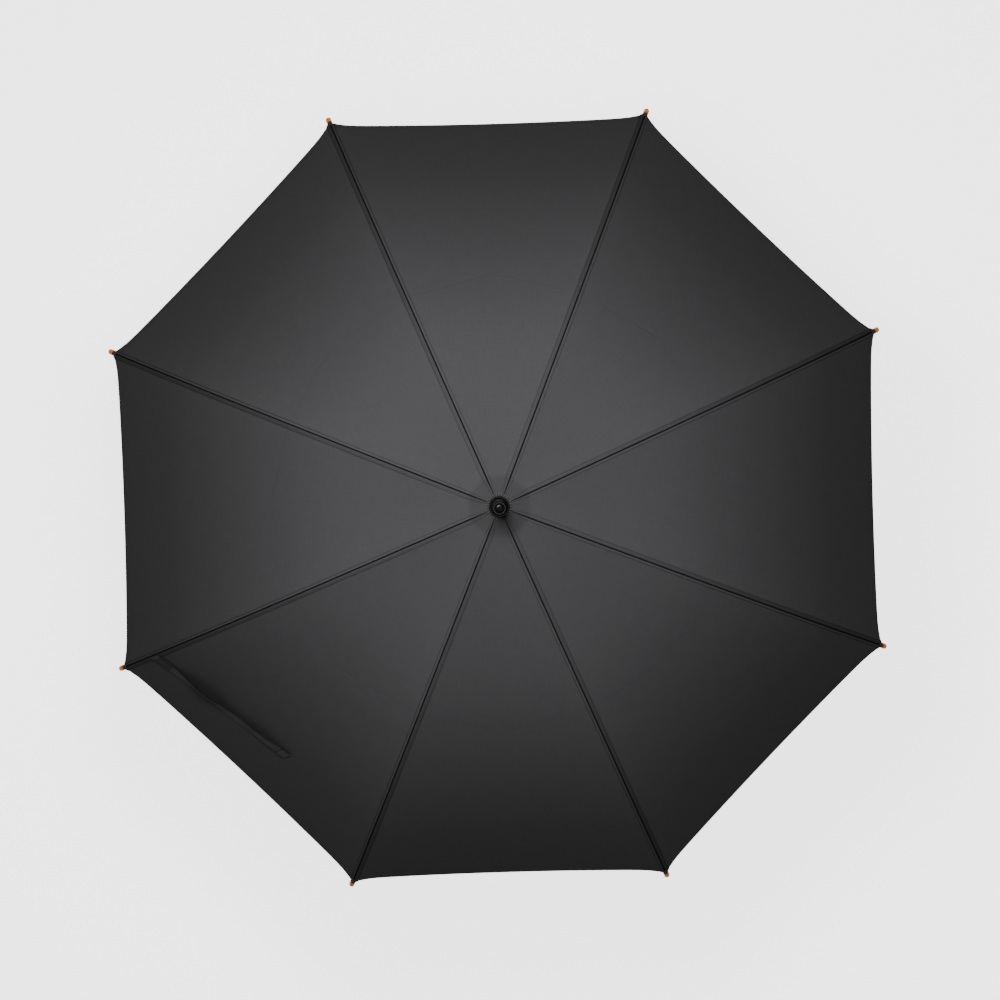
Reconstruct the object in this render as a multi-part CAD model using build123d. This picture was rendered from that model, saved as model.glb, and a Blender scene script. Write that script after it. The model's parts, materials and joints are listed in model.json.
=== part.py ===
"""Stick umbrella with a wooden shaft and crook handle, eight steel ribs and a cloth canopy.

Millimetres, +Z up along the shaft. The origin is in the middle of the handle's straight grip, on the
shaft's axis, and the crook opens towards +X. The umbrella is open: the runner rests on its top catch.
Ribs are numbered anticlockwise seen from above.
"""

from build123d import *
import os
from math import acos, atan2, cos, degrees, hypot, pi, radians, sin, tan

os.makedirs("parts", exist_ok=True)

# ---- driving sizes ------------------------------------------------------------------------------
rib_count = 8
first_rib_angle = 22.5  # a gore, not a rib, faces +X

# handle and shaft
handle_d = 21.0
crook_r = 38.0  # centre line of the crook's half turn
grip_below = 70.0  # straight grip below the origin, down to the crook
grip_above = 65.0  # straight grip above the origin
hook_rise = 20.0  # straight end of the hook after the half turn
shaft_d = 14.0
shaft_in_handle = 45.0
collar_h = 12.0
collar_wall = 0.9
collar_seat = 8.0  # how far the collar comes down over the handle

# linkage: rib and stretcher pivots, all in one upright plane for each rib
pivot_out = 3.5  # crown and runner pivots outside the shaft
link = 268.0  # crown pivot to joint, and joint to runner pivot
outer_chord = 320.5  # joint to the end of the wooden tip, in a straight line
crown_slope = 15.0  # rib's slope below level where it leaves the crown
inner_slope = 20.0  # slope of the inner link, and of the stretcher, when open
outer_slope = 37.0  # slope of the outer chord when open
joint_out_closed = 8.0  # joint outside the shaft when closed
tip_out_closed = 5.5  # end of the tip outside the shaft when closed
tip_over_collar = 14.0  # closed tips end at least this far above the collar
runner_over_collar = 10.0  # and so does the closed runner

# ribs and stretchers, rolled channel
rib_w = 3.2
rib_h = 3.0
rib_wall = 0.6
neck_h = 2.4
eye_d = 4.0
eye_t = 1.6
eye_neck = 5.0  # thin neck between an eye and its channel
solid_end = 5.0  # channel is closed up over this length at a knuckle or neck
wire_d = 1.0
knuckle_d = 4.4
tongue_t = 1.2
joint_gap = 3.5  # full channel stops this far from the joint
rivet_d = 1.4
rivet_head_d = 2.6
rivet_head_h = 0.5
strut_w = 2.9
strut_h = 2.6
cheek_t = 0.8
fork_l = 17.0  # open part of the stretcher's fork
fork_web = 3.0
strut_end = 3.0  # stretcher's channel is closed up over this length at each end

# wooden tips
tip_l = 30.0
tip_d = 7.0
tip_neck_d = 4.4
tip_taper = 6.0
tip_out = 15.0  # part that stands out of the canopy
spigot_d = 2.6
spigot_l = 13.0
plug_l = 6.0  # channel's closed end, which the spigot grows from
end_gap = 0.3  # channel to the tip's inner end

# crown and runner
boss_wall = 1.4  # over the shaft's surface
flange_out = 3.0  # beyond the pivots
flange_below = 2.8
edge_break = 1.0  # bevels of turned edges
crown_skirt = 18.0
crown_plate = 3.8  # crown's top above its pivots
eye_roof = 2.3  # slots reach this far past the pivots
runner_l = 52.0
runner_bead = 1.35  # bead round the runner's foot, over its boss
runner_bead_h = 5.0
window_w = 4.5
window_h = 13.0
window_up = 9.0  # window's lower edge above the runner's lower end

# catches and pins
catch_out = 3.0  # nose beyond the shaft
catch_h = 10.0
catch_land = 2.5  # flat end of the nose
catch_w = 2.0
leaf_l = 42.0
leaf_t = 1.0
leaf_x = 1.0  # leaf's pin from the shaft's axis
leaf_set = 1.6  # leaf's back below the shaft's surface at the nose
slot_ahead = 1.0  # slot past the nose
slot_end = 4.0  # slot beyond the leaf's pin
spring_pin_d = 1.5
spring_pin_set = 0.3  # pin's ends below the shaft's surface
stop_pin_d = 2.5
stop_pin_out = 1.6
crown_pin_d = 2.0

# canopy
cloth_t = 0.3
gore_fall = 0.5  # least room for the cloth's fall beside a rib, for each mm of its half width
crown_room = 1.0  # cloth's underside above the rosette on the crown
crown_blend = 40.0
neck_out = 1.6  # cloth's hole, outside the shaft
sag = 9.0  # hollow of each gore between its ribs, half way down
hem_sag = 4.0  # the same at the hem
hem_hollow = 3.0  # hem's curve towards the crown between two tips
cloth_steps = 32  # stations along a rib
crown_crowding = 0.25  # spacing of the stations at the crown, over their mean spacing
inner_rosette_skirt = 8.0  # slanting rim round the crown's top
inner_rosette_slope = 24.0
outer_rosette_rim = 3.2  # stands out from under the cap
outer_rosette_notch = 1.3
rosette_teeth = 28
rosette_t = 0.4

# ferrule
cap_d = 24.0
cap_h = 6.5
cap_edge = 1.6
cap_shoulder = 1.6  # flat ring on top, outside the shaft
cap_bulge = 0.9  # the cup's side has drawn in this far, at the share of its height below
cap_bulge_at = 0.62
ferrule_l = 56.0
ferrule_over = 0.3  # ferrule's surface outside the shaft's
ferrule_wall = 1.8
ferrule_plug = 40.0  # turned-down end of the shaft inside the ferrule
ferrule_round = 5.0

# tie strap, sewn into the seam over the fifth rib
strap_rib = 5
strap_l = 205.0
strap_w = 15.0
strap_t = 1.0
strap_from_tip = 82.0  # from the end of the tip, along the rib
strap_drift = 24.0  # the strap's free end lies this much nearer to the crown
strap_seam = 2.0  # the strap starts this far from the seam's line
patch_start = 6.0
patch_l = 20.0
patch_t = 0.8
patch_edge = 2.0  # strap left bare each side of a patch
pull_tab = 16.0  # strap past the hook patch, to pull it off by

# clearances
running = 0.08  # pins and wires in their eyes, on the radius
sliding = 0.1  # runner on the shaft, on the radius
glued = 0.03  # pieces glued or pressed on the shaft, on the radius
side_gap = 0.2  # each side of an eye or knuckle in its slot
soft_gap = 0.3  # cloth to anything on another body
sewn = 0.1  # patches on the strap
seat_gap = 0.1  # runner to its catch and its stop
wire_gap = 0.05  # each side of the crown's and the runner's wire
leaf_gap = 0.25  # each side of a leaf in its slot
press_room = 0.75  # behind a leaf's root
weld = 1.0  # how far one shape of a solid runs into the next, and a cutter past its face

# ---- places worked out from them ----------------------------------------------------------------
shaft_r = shaft_d / 2
pivot_r = shaft_r + pivot_out
joint_r_closed = shaft_r + joint_out_closed
tip_r_closed = shaft_r + tip_out_closed
boss_r = shaft_r + boss_wall
flange_r = pivot_r + flange_out
crown_top_r = flange_r - 1.5 * edge_break
neck_r = shaft_r + neck_out
ferrule_d = shaft_d + 2 * ferrule_over
ferrule_bore = ferrule_d - 2 * ferrule_wall
outer_rosette_r = cap_d / 2 + outer_rosette_rim
eye_hole = wire_d / 2 + running
knuckle_hole = rivet_d / 2 + running
slot_w = catch_w + 2 * leaf_gap
slot_floor = leaf_x - spring_pin_d / 2 - leaf_t - press_room
inner_closed = degrees(acos((joint_r_closed - pivot_r) / link))
outer_closed = degrees(acos((tip_r_closed - joint_r_closed) / outer_chord))

handle_top = grip_above
collar_top = handle_top + collar_h - collar_seat
rib_reach = link * sin(radians(inner_closed)) + outer_chord * sin(radians(outer_closed))
runner_reach = 2 * link * sin(radians(inner_closed)) + runner_l - flange_below
crown_z = collar_top + max(tip_over_collar + rib_reach, runner_over_collar + runner_reach)
joint_r = pivot_r + link * cos(radians(inner_slope))
joint_z = crown_z - link * sin(radians(inner_slope))
tip_r = joint_r + outer_chord * cos(radians(outer_slope))
tip_z = joint_z - outer_chord * sin(radians(outer_slope))
runner_z = crown_z - 2 * link * sin(radians(inner_slope))
runner_z_closed = crown_z - 2 * link * sin(radians(inner_closed))
runner_foot = runner_l - flange_below  # runner's lower end below its pivots
inner_half = radians(inner_slope - crown_slope)
outer_half = radians(outer_slope - 2 * inner_slope + crown_slope)
fork_w = rib_w + 2 * side_gap + 2 * cheek_t
cloth_lift = knuckle_d / 2 + gore_fall * fork_w / 2  # cloth's underside above the ribs' centre line
crown_rise = crown_plate + rosette_t + crown_room - cloth_lift  # extra lift over the crown
cap_z = crown_z + cloth_lift + crown_rise + cloth_t + soft_gap + rosette_t
ferrule_z = cap_z + cap_h
strap_lift = cloth_t + soft_gap + patch_t + sewn  # strap's underside over the cloth's


def rib_angle(n):
    return first_rib_angle + 360 / rib_count * (n - 1)


def turned(shape, n):
    """A shape drawn in the XZ plane, turned to rib n."""
    return Rot(Z=rib_angle(n)) * shape


class Arc:
    """A shallow arc in the rib's plane, bulging upwards, from one point to another."""

    def __init__(self, start, end, half):
        chord = hypot(end[0] - start[0], end[1] - start[1])
        slope = atan2(start[1] - end[1], end[0] - start[0])
        self.radius = chord / (2 * sin(half))
        self.length = 2 * half * self.radius
        self.first = slope - half
        self.centre = (
            start[0] - self.radius * sin(self.first),
            start[1] - self.radius * cos(self.first),
        )

    def slope_at(self, along):
        return self.first + along / self.radius

    def at(self, along, up=0.0):
        """The point this far along the arc and this far above it."""
        reach = self.radius + up
        turn = self.slope_at(along)
        return (self.centre[0] + reach * sin(turn), self.centre[1] + reach * cos(turn))


inner_arc = Arc((pivot_r, crown_z), (joint_r, joint_z), inner_half)
outer_arc = Arc((joint_r, joint_z), (tip_r, tip_z), outer_half)


def band(arc, a, b, low, high):
    """The strip between two heights over an arc, from a to b along it."""
    mid = (a + b) / 2
    edges = [
        ThreePointArc(arc.at(a, low), arc.at(mid, low), arc.at(b, low)),
        Line(arc.at(b, low), arc.at(b, high)),
        ThreePointArc(arc.at(b, high), arc.at(mid, high), arc.at(a, high)),
        Line(arc.at(a, high), arc.at(a, low)),
    ]
    return Plane.XZ * make_face(edges)


def slab(face, width, offset=0.0):
    """A face in the XZ plane made width thick, centred this far along +Y."""
    return Pos(0, offset, 0) * extrude(face, width / 2, both=True)


def across(r, z, radius, width, offset=0.0):
    """A round bar through (r, z) square to the rib's plane."""
    return Pos(r, offset, z) * Rot(X=90) * Cylinder(radius, width)


def lathe(*points):
    """A solid turned about the shaft's axis from (radius, height) points."""
    return revolve(Plane.XZ * make_face(Polyline(*points, close=True)), Axis.Z)


def tube(outer, inner, low, high):
    return lathe((inner, low), (outer, low), (outer, high), (inner, high))


def save(shape, name):
    solids = shape.solids()
    whole = solids[0] if len(solids) == 1 else Compound(children=list(solids))
    whole.label = name
    export_step(whole, f"parts/{name}.step")


# ---- handle and shaft ---------------------------------------------------------------------------
def handle():
    low, hook_x = -grip_below, 2 * crook_r
    path = (
        Line((0, 0, handle_top), (0, 0, low))
        + ThreePointArc((0, 0, low), (crook_r, 0, low - crook_r), (hook_x, 0, low))
        + Line((hook_x, 0, low), (hook_x, 0, low + hook_rise))
    )
    top = Plane((0, 0, handle_top), z_dir=(0, 0, -1))
    stick = sweep(top * Circle(handle_d / 2), path=path)
    stick += Pos(hook_x, 0, low + hook_rise) * Sphere(handle_d / 2)
    seat = tube(handle_d, handle_d / 2 - collar_wall / 2, handle_top - collar_seat, handle_top + weld)
    bore = tube(shaft_r + glued, 0, handle_top - shaft_in_handle, handle_top + weld)
    return stick - seat - bore


def handle_collar():
    seat_r = handle_d / 2 - collar_wall / 2 + glued
    out_r = handle_d / 2 + collar_wall / 2
    low, lip = handle_top - collar_seat, handle_top
    neck = shaft_r + glued
    return lathe(
        (seat_r, low), (out_r, low), (out_r, collar_top - collar_wall),
        (out_r - collar_wall, collar_top), (neck, collar_top), (neck, lip), (seat_r, lip),
    )


# ---- catches: each is a leaf in a slot of the shaft, with a nose that holds the runner ----------
top_nose_z = runner_z - runner_foot - seat_gap
bottom_nose_z = runner_z_closed - runner_foot + window_up + seat_gap


def leaf(nose_z, way):
    """The leaf's outline: its flat ledge is at nose_z, and it runs to its pin along way (+1 up)."""
    back, out = shaft_r - leaf_set, shaft_r + catch_out
    pin_z = nose_z + way * leaf_l
    heel = nose_z + way * catch_h
    points = [
        (back, nose_z), (out, nose_z), (out, nose_z + way * catch_land), (back + leaf_t, heel),
        (leaf_x + leaf_t / 2, pin_z), (leaf_x - leaf_t / 2, pin_z), (back, heel - way * leaf_t),
    ]
    outline = Plane.XZ * make_face(Polyline(*points, close=True))
    shape = slab(outline, catch_w) + across(leaf_x, pin_z, spring_pin_d / 2 + leaf_t, catch_w)
    return shape - across(leaf_x, pin_z, spring_pin_d / 2 + glued, catch_w + weld)


def leaf_pin(nose_z, way):
    half = (shaft_r**2 - leaf_x**2) ** 0.5 - spring_pin_set
    return across(leaf_x, nose_z + way * leaf_l, spring_pin_d / 2, 2 * half)


def leaf_slot(nose_z, way):
    low, high = sorted((nose_z - way * slot_ahead, nose_z + way * (leaf_l + slot_end)))
    corner = (Align.MIN, Align.CENTER, Align.MIN)
    return Pos(slot_floor, 0, low) * Box(shaft_r + weld - slot_floor, slot_w, high - low, align=corner)


catches = {"top_spring": (top_nose_z, -1), "bottom_spring": (bottom_nose_z, 1)}
stop_pin_z = runner_z + flange_below + stop_pin_d / 2 + seat_gap
crown_pin_z = crown_z - 2 * crown_skirt / 3


def stop_pin():
    return across(0, stop_pin_z, stop_pin_d / 2, shaft_d + 2 * stop_pin_out)


def crown_pin():
    return Rot(Z=90) * across(0, crown_pin_z, crown_pin_d / 2, 2 * boss_r)


def shaft():
    low = handle_top - shaft_in_handle
    plug = ferrule_bore / 2 - glued
    rod = lathe(
        (0, low), (shaft_r, low), (shaft_r, ferrule_z), (plug, ferrule_z),
        (plug, ferrule_z + ferrule_plug), (0, ferrule_z + ferrule_plug),
    )
    for nose_z, way in catches.values():
        rod -= leaf_slot(nose_z, way)
        rod -= leaf_pin(nose_z, way)
    return rod - stop_pin() - crown_pin()


# ---- crown and runner ---------------------------------------------------------------------------
def slots(way):
    """Radial slots for the eyes round pivots at z = 0, open outwards and along way (+1 up)."""
    width = eye_t + 2 * side_gap
    low, high = sorted((-way * eye_roof, way * 4 * flange_below))
    one = Box(2 * flange_r, width, high - low, align=(Align.MIN, Align.CENTER, Align.MIN))
    for n in range(1, rib_count + 1):
        yield turned(Pos(boss_r, 0, low) * one, n)


def wire_groove():
    half = wire_d / 2 + wire_gap
    return tube(flange_r + weld, pivot_r - half, -half, half)


def crown():
    bore = shaft_r + glued
    body = lathe(
        (bore, -crown_skirt), (boss_r, -crown_skirt), (boss_r, -flange_below),
        (flange_r, -flange_below), (flange_r, crown_plate - edge_break), (crown_top_r, crown_plate),
        (bore, crown_plate),
    )
    body -= wire_groove()
    for slot in slots(-1):
        body -= slot
    return Pos(0, 0, crown_z) * body - crown_pin()


def runner():
    bore, bead = shaft_r + sliding, boss_r + runner_bead
    foot, bead_top = -runner_foot, runner_bead_h - runner_foot
    body = lathe(
        (bore, foot), (bead - edge_break, foot), (bead, foot + edge_break),
        (bead, bead_top - edge_break), (bead - edge_break, bead_top), (boss_r, bead_top),
        (boss_r, -flange_below), (flange_r, -flange_below), (flange_r, flange_below),
        (bore, flange_below),
    )
    body -= wire_groove()
    for slot in slots(1):
        body -= slot
    window = Pos(boss_r, 0, foot + window_up + window_h / 2)
    body -= window * Box(boss_r, window_w, window_h)
    return Pos(0, 0, runner_z) * body


def wire_ring(z):
    return Pos(0, 0, z) * Torus(pivot_r, wire_d / 2)


# ---- ribs, stretchers and tips ------------------------------------------------------------------
def channel(arc, a, b):
    """Rolled channel along an arc, open below."""
    outer = slab(band(arc, a, b, -rib_h / 2, rib_h / 2), rib_w)
    groove = band(arc, a - weld, b + weld, -rib_h, rib_h / 2 - rib_wall)
    return outer - slab(groove, rib_w - 2 * rib_wall)


def rib_inner():
    arc, end = inner_arc, inner_arc.length
    start = eye_d / 2 + eye_neck
    body = channel(arc, start, end - joint_gap)
    body += slab(band(arc, 0, start + solid_end, -neck_h / 2, neck_h / 2), eye_t)
    body += slab(
        band(arc, end - joint_gap - solid_end, end - weld, -rib_h / 2, rib_h / 2), tongue_t
    )
    body += across(pivot_r, crown_z, eye_d / 2, eye_t)
    body += across(joint_r, joint_z, knuckle_d / 2, tongue_t)
    body -= across(pivot_r, crown_z, eye_hole, rib_w)
    return body - across(joint_r, joint_z, knuckle_hole, rib_w)


def spigot(radius, extra):
    """The rib's round end inside its tip, along the tip's own +Z, extra longer at its inner end."""
    place = Pos(0, 0, tip_l - spigot_l)
    return place * Cylinder(radius, spigot_l + extra, align=(Align.CENTER, Align.CENTER, Align.MIN))


def rib_outer():
    arc = outer_arc
    end = arc.length - tip_l - end_gap
    body = channel(arc, joint_gap, end)
    cheek = (rib_w - tongue_t) / 2 - side_gap
    for side in (-1, 1):
        y = side * (rib_w - cheek) / 2
        body += slab(band(arc, weld, joint_gap + solid_end, -rib_h / 2, rib_h / 2), cheek, y)
        body += across(joint_r, joint_z, knuckle_d / 2, cheek, y)
    body -= across(joint_r, joint_z, knuckle_hole, 2 * rib_w)
    plug = band(arc, end - plug_l, end, -spigot_d / 2, rib_h / 2 - rib_wall / 2)
    body += slab(plug, rib_w - rib_wall)
    return body + tip_frame * spigot(spigot_d / 2, plug_l)


tip_slope = outer_arc.slope_at(outer_arc.length - tip_l / 2)
tip_axis = Vector(-cos(tip_slope), 0, sin(tip_slope))  # from the tip's end back along the rib
tip_frame = Plane((tip_r, 0, tip_z), x_dir=(0, 1, 0), z_dir=tip_axis).location


def rib_tip():
    """Turned tip along its own +Z, from its rounded end at 0, with the cloth sewn round its neck."""
    r, neck = tip_d / 2, tip_neck_d / 2
    half_turn = radians(45)
    outline = make_face([
        ThreePointArc((0, 0), (r * sin(half_turn), r - r * cos(half_turn)), (r, r)),
        Line((r, r), (r, tip_out - tip_taper)),
        Line((r, tip_out - tip_taper), (neck, tip_out)),
        Line((neck, tip_out), (neck, tip_l)),
        Line((neck, tip_l), (0, tip_l)),
        Line((0, tip_l), (0, 0)),
    ])
    turned_tip = revolve(Plane.XZ * outline, Axis.Z)
    return tip_frame * (turned_tip - spigot(spigot_d / 2 + glued, weld))


def bar_piece(start, end, width, height):
    box = Box(end - start, width, height, align=(Align.MIN, Align.CENTER, Align.CENTER))
    return Pos(start, 0, 0) * box


def stretcher():
    """Channel open above, forked over the rib at the joint, drawn along +X from the runner's pivot."""
    start, web = eye_d / 2 + eye_neck, link - fork_l
    shut, end = start + strut_end, web - fork_web - strut_end
    bar = bar_piece(start, web, strut_w, strut_h)
    bar -= Pos(0, 0, rib_wall) * bar_piece(shut, end, strut_w - 2 * rib_wall, strut_h)
    bar += bar_piece(0, start + weld, eye_t, neck_h) + across(0, 0, eye_d / 2, eye_t)
    bar += bar_piece(web - fork_web, web, fork_w, strut_h)
    rivet = across(link, 0, rivet_d / 2, fork_w)
    for side in (-1, 1):
        y = side * (fork_w - cheek_t) / 2
        bar += Pos(0, y, 0) * bar_piece(web - weld, link, cheek_t, strut_h)
        bar += across(link, 0, knuckle_d / 2, cheek_t, y)
        head_y = side * (fork_w + rivet_head_h) / 2
        rivet += across(link, 0, rivet_head_d / 2, rivet_head_h, head_y)
    bar -= across(0, 0, eye_hole, rib_w)
    bar -= across(link, 0, rivet_d / 2, fork_w + weld)
    placed = Pos(pivot_r, 0, runner_z) * Rot(Y=-inner_slope)
    return Compound(children=[placed * bar.solid(), placed * rivet.solid()])


# ---- canopy -------------------------------------------------------------------------------------
cloth_end = inner_arc.length + outer_arc.length - tip_out


def over_rib(along, up):
    """The point over the rib, this far along it from the crown's pivot: (radius, height)."""
    if along <= 0:
        r, z = inner_arc.at(0, up)
        return r + along, z
    if along <= inner_arc.length:
        return inner_arc.at(along, up)
    return outer_arc.at(along - inner_arc.length, up)


def cloth_point(n, along, side):
    """A point of the gore after rib n: side runs from -1 at rib n to 1 at the next rib.

    Along is the distance from the crown's pivot over a rib. A gore is straight across near the crown
    and hollow towards its hem.
    """
    near_crown = max(0.0, 1 - max(along, 0.0) / crown_blend)
    lift = cloth_lift + crown_rise * near_crown**2
    across_gore = 1 - side**2
    share = max(along, 0.0) / cloth_end
    station = along - hem_hollow * across_gore * share**2
    r, z = over_rib(station, lift)
    half = radians(180 / rib_count)
    out, sideways = r * cos(half), r * sin(half) * side
    seam = soft_gap / 2 / (r * sin(half))
    sideways *= 1 - seam
    slope = inner_arc.slope_at(max(station, 0.0))
    if station > inner_arc.length:
        slope = outer_arc.slope_at(station - inner_arc.length)
    hollow = across_gore * (sag * sin(pi * share) + hem_sag * share**2)
    out -= hollow * sin(slope)
    z -= hollow * cos(slope)
    turn = radians(rib_angle(n)) + half
    return (
        out * cos(turn) - sideways * sin(turn),
        out * sin(turn) + sideways * cos(turn),
        z,
    )


def cloth_rows():
    """Stations along the ribs, closest together over the crown and then ever wider apart."""
    first = neck_r - inner_arc.at(0, cloth_lift + crown_rise)[0]
    for k in range(cloth_steps + 1):
        share = k / cloth_steps
        yield first + (cloth_end - first) * share * (crown_crowding + (1 - crown_crowding) * share)


def canopy_panel(n):
    sides = [k / 5 for k in range(-5, 6)]
    points = [[cloth_point(n, a, s) for s in sides] for a in cloth_rows()]
    sheet = Face.make_surface_from_array_of_points(points, tol=0.02)
    return Solid.thicken(sheet, cloth_t, normal_override=(0, 0, 1))


def strap_point(along_strap, over):
    """A point of the cloth under the strap: along it from its seam, and across it."""
    base = inner_arc.length + outer_arc.length - strap_from_tip
    station = base - strap_drift * along_strap / strap_l - over
    half_width = over_rib(station, cloth_lift)[0] * sin(radians(180 / rib_count))
    return Vector(*cloth_point(strap_rib, station, along_strap / half_width - 1))


def strap_slab(start, end, width, low, thick):
    """A strip that lies square over the cloth, its underside low above it."""
    steps, rows = 10, []
    for k in range(steps + 1):
        a = start + (end - start) * k / steps
        row = []
        for over in (-width / 2, 0, width / 2):
            along = strap_point(a + weld, over) - strap_point(a - weld, over)
            uphill = strap_point(a, over + weld) - strap_point(a, over - weld)
            normal = uphill.cross(along).normalized()
            row.append(strap_point(a, over) + normal * (low if normal.Z > 0 else -low))
        rows.append(row)
    sheet = Face.make_surface_from_array_of_points(rows, tol=0.02)
    return Solid.thicken(sheet, thick, normal_override=(0, 0, 1))


def pinked_disc():
    points = []
    for k in range(2 * rosette_teeth):
        reach = outer_rosette_r - outer_rosette_notch * (k % 2)
        turn = radians(180 / rosette_teeth * k)
        points.append((reach * cos(turn), reach * sin(turn)))
    disc = extrude(make_face(Polyline(*points, close=True)), rosette_t)
    return Pos(0, 0, cap_z - rosette_t) * (disc - Cylinder(shaft_r + glued, 4 * rosette_t))


def inner_rosette():
    low, bore, rim = crown_z + crown_plate, shaft_r + glued, crown_top_r + inner_rosette_skirt
    edge = low - inner_rosette_skirt * tan(radians(inner_rosette_slope))
    return lathe(
        (bore, low), (crown_top_r, low), (rim, edge), (rim, edge + rosette_t),
        (crown_top_r, low + rosette_t), (bore, low + rosette_t),
    )


def ferrule_cap():
    bore, out, shoulder = shaft_r + glued, cap_d / 2, shaft_r + cap_shoulder
    side = (out - cap_bulge, cap_edge + (cap_h - cap_edge) * cap_bulge_at)
    outline = make_face([
        Polyline((shoulder, cap_h), (bore, cap_h), (bore, 0), (out, 0), (out, cap_edge)),
        ThreePointArc((out, cap_edge), side, (shoulder, cap_h)),
    ])
    return Pos(0, 0, cap_z) * revolve(Plane.XZ * outline, Axis.Z)


def ferrule():
    blank = Cylinder(ferrule_d / 2, ferrule_l, align=(Align.CENTER, Align.CENTER, Align.MIN))
    blank = fillet(blank.edges().sort_by(Axis.Z)[-1], ferrule_round)
    bore = Cylinder(ferrule_bore / 2, 2 * (ferrule_plug + end_gap))
    return Pos(0, 0, ferrule_z) * (blank - bore)


# ---- write every node ---------------------------------------------------------------------------
def main():
    save(shaft(), "shaft")
    save(handle(), "handle")
    save(handle_collar(), "handle_collar")
    save(crown(), "crown")
    save(wire_ring(crown_z), "crown_wire")
    save(crown_pin(), "crown_pin")
    save(runner(), "runner")
    save(wire_ring(runner_z), "runner_wire")
    save(stop_pin(), "stop_pin")
    for name, (nose_z, way) in catches.items():
        save(leaf(nose_z, way), name)
    pins = [leaf_pin(nose_z, way) for nose_z, way in catches.values()]
    save(Compound(children=[p.solid() for p in pins]), "spring_pins")
    save(inner_rosette(), "inner_rosette")
    save(pinked_disc(), "outer_rosette")
    save(ferrule_cap(), "ferrule_cap")
    save(ferrule(), "ferrule")
    parts = {
        "rib_inner": rib_inner(), "rib_outer": rib_outer(), "rib_tip": rib_tip(),
        "stretcher": stretcher(),
    }
    for n in range(1, rib_count + 1):
        for name, shape in parts.items():
            save(turned(shape, n), f"{name}_{n}")
        save(canopy_panel(n), f"canopy_panel_{n}")
    width = strap_w - 2 * patch_edge
    under, over = strap_lift - sewn - patch_t, strap_lift + strap_t + sewn
    free_end = strap_l - pull_tab
    save(strap_slab(strap_seam, strap_l, strap_w, strap_lift, strap_t), "tie_strap")
    save(strap_slab(patch_start, patch_start + patch_l, width, over, patch_t), "strap_loop_patch")
    save(strap_slab(free_end - patch_l, free_end, width, under, patch_t), "strap_hook_patch")


if __name__ == "__main__":
    main()
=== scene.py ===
"""Looks of the open stick umbrella: its cloth canopy, tie strap and rosettes, and every material.

Metres, in the CAD model's frame: +Z up the shaft, origin in the middle of the handle's grip. Ribs are
numbered anticlockwise from above. Each gore is made in two halves, one on each rib, and each half is
parented to its rib's body.
"""

import json
import math

import bpy
import numpy as np
from mathutils import Euler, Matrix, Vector

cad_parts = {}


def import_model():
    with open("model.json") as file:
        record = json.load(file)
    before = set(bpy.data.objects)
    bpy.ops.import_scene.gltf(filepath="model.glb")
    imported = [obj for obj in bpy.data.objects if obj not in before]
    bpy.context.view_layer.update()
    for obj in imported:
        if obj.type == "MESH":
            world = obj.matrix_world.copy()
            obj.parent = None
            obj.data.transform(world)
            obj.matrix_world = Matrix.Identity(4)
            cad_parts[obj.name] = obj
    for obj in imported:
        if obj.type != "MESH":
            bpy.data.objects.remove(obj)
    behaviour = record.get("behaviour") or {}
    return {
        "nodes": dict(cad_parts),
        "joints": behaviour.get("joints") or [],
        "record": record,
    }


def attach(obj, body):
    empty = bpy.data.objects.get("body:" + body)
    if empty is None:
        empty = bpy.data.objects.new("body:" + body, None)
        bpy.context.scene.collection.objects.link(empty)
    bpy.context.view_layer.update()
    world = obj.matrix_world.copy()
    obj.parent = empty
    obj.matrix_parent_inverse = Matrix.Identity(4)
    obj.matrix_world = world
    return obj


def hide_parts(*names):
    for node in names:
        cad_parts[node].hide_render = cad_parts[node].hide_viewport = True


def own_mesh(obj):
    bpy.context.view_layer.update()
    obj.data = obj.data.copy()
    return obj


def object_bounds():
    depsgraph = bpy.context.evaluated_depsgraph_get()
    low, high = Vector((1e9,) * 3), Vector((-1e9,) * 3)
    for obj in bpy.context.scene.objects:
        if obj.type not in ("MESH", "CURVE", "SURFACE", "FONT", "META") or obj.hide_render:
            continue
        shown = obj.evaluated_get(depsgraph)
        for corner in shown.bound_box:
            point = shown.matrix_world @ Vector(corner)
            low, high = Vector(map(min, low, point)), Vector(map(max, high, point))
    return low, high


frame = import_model()
cad_low, cad_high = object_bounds()

RIBS = range(1, 9)
HALF_GORE = math.pi / 8
MM = 0.001


# ---- the linkage, read from the frame -----------------------------------------------------------
def joint(name):
    return next(j for j in frame["joints"] if j["name"] == name)


def radius_height(point):
    return math.hypot(point[0], point[1]), point[2]


def rib_turn(n):
    x, y, _ = joint(f"rib_fold_{n}")["pos_m"]
    return math.atan2(y, x)


def tip_end(n):
    """The far end of a wooden tip: (radius, height)."""
    ends = [radius_height(v.co) for v in frame["nodes"][f"rib_tip_{n}"].data.vertices]
    return max(ends)


CROWN = radius_height(joint("rib_fold_1")["pos_m"])
JOINT = radius_height(joint("rib_flex_1")["pos_m"])
TIP = tip_end(1)
CROWN_SLOPE = math.radians(15)  # of a rib where it leaves the crown
RIB_TOP = 1.5 * MM  # rib's back over its centre line
TIP_OUT = 15 * MM  # bare end of a wooden tip


class Arc:
    """A shallow arc in the rib's plane, bulging upwards; lengths are arrays."""

    def __init__(self, start, end, half):
        chord = math.hypot(end[0] - start[0], end[1] - start[1])
        slope = math.atan2(start[1] - end[1], end[0] - start[0])
        self.radius = chord / (2 * math.sin(half))
        self.length = 2 * half * self.radius
        self.first = slope - half
        self.centre = (
            start[0] - self.radius * math.sin(self.first),
            start[1] - self.radius * math.cos(self.first),
        )

    def slope(self, along):
        return self.first + along / self.radius

    def at(self, along, up):
        turn = self.slope(along)
        reach = self.radius + up
        return self.centre[0] + reach * np.sin(turn), self.centre[1] + reach * np.cos(turn)


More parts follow.
